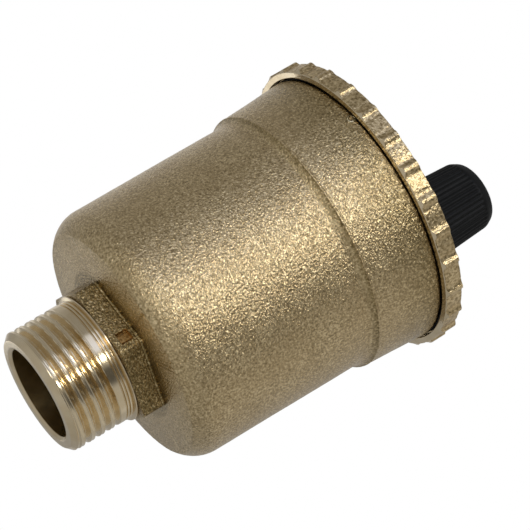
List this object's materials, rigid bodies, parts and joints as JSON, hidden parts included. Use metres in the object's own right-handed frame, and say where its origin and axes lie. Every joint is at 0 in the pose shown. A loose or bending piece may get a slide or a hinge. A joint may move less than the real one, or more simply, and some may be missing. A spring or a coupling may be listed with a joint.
{
  "type": "automatic air vent",
  "caption": "Float-operated automatic air vent: threaded brass float chamber, screwed cover with a serrated grip ring and an off-centre vent nipple under a ribbed black cap.",
  "frame": {"origin": "centre of the end face of the male thread, the lowest point of the part", "axes": "+Z along the body's axis from the thread towards the vent cap, +X from the body's axis towards the vent cap's axis"},
  "size_m": [0.0514, 0.0514, 0.0821],
  "materials": {
    "cast_brass": "sandblasted cast brass, with machined thread and lands",
    "turned_brass": "turned brass",
    "cap_plastic": "satin moulded plastic",
    "seal_rubber": "moulded rubber",
    "fibre_seal": "pressed fibre",
    "stainless": "bright stainless",
    "float_plastic": "natural polypropylene"
  },
  "bodies": {
    "housing": {"body": "cast_brass"},
    "cover_lift_carrier": {"cover_o_ring": "seal_rubber"},
    "cover": {"cover": "cast_brass", "vent_nipple": "turned_brass", "nipple_seal": "fibre_seal", "lever_bracket": "stainless", "bracket_screw_a": "stainless", "bracket_screw_b": "stainless", "lever_pin": "stainless", "lever_pin_clip": "stainless"},
    "cap_lift_carrier": {"cap_seal": "seal_rubber"},
    "cap": {"vent_cap": "cap_plastic"},
    "float": {"float_cup": "float_plastic", "float_lid": "float_plastic"},
    "lever": {"lever": "stainless", "link_pin": "stainless", "link_pin_clip": "stainless"},
    "valve": {"valve_stem": "turned_brass", "valve_seal": "seal_rubber", "spring_retainer": "stainless", "valve_spring": "stainless"}
  },
  "joints": [
    {"name": "cover_lift", "type": "slide", "parent": "housing", "child": "cover_lift_carrier", "axis": [0, 0, 1], "range_m": [0, 0.005]},
    {"name": "cover_unscrew", "type": "hinge", "parent": "cover_lift_carrier", "child": "cover", "pos_m": [0, 0, 0.062], "axis": [0, 0, 1], "range_deg": [0, 1200]},
    {"name": "cap_lift", "type": "slide", "parent": "cover", "child": "cap_lift_carrier", "axis": [0, 0, 1], "range_m": [0, 0.005]},
    {"name": "cap_unscrew", "type": "hinge", "parent": "cap_lift_carrier", "child": "cap", "pos_m": [0.008, 0, 0.075], "axis": [0, 0, 1], "range_deg": [0, 1800]},
    {"name": "float_travel", "type": "slide", "parent": "cover", "child": "float", "axis": [0, 0, 1], "range_m": [0, 0.005]},
    {"name": "lever_swing", "type": "hinge", "parent": "cover", "child": "lever", "pos_m": [0.0135, 0, 0.0535], "axis": [0, 1, 0], "range_deg": [0, 14.72]},
    {"name": "valve_lift", "type": "slide", "parent": "cover", "child": "valve", "axis": [0, 0, 1], "range_m": [0, 0.00141], "deforming": ["valve_spring"]}
  ],
  "couplings": [
    {"joint": "cover_lift", "follows": "cover_unscrew", "m_per_rad": 0.00023873},
    {"joint": "cap_unscrew", "follows": "cap_lift", "rad_per_m": 6283.2},
    {"joint": "lever_swing", "follows": "float_travel", "rad_per_m": 51.313},
    {"joint": "valve_lift", "follows": "float_travel", "ratio": 0.2814}
  ]
}
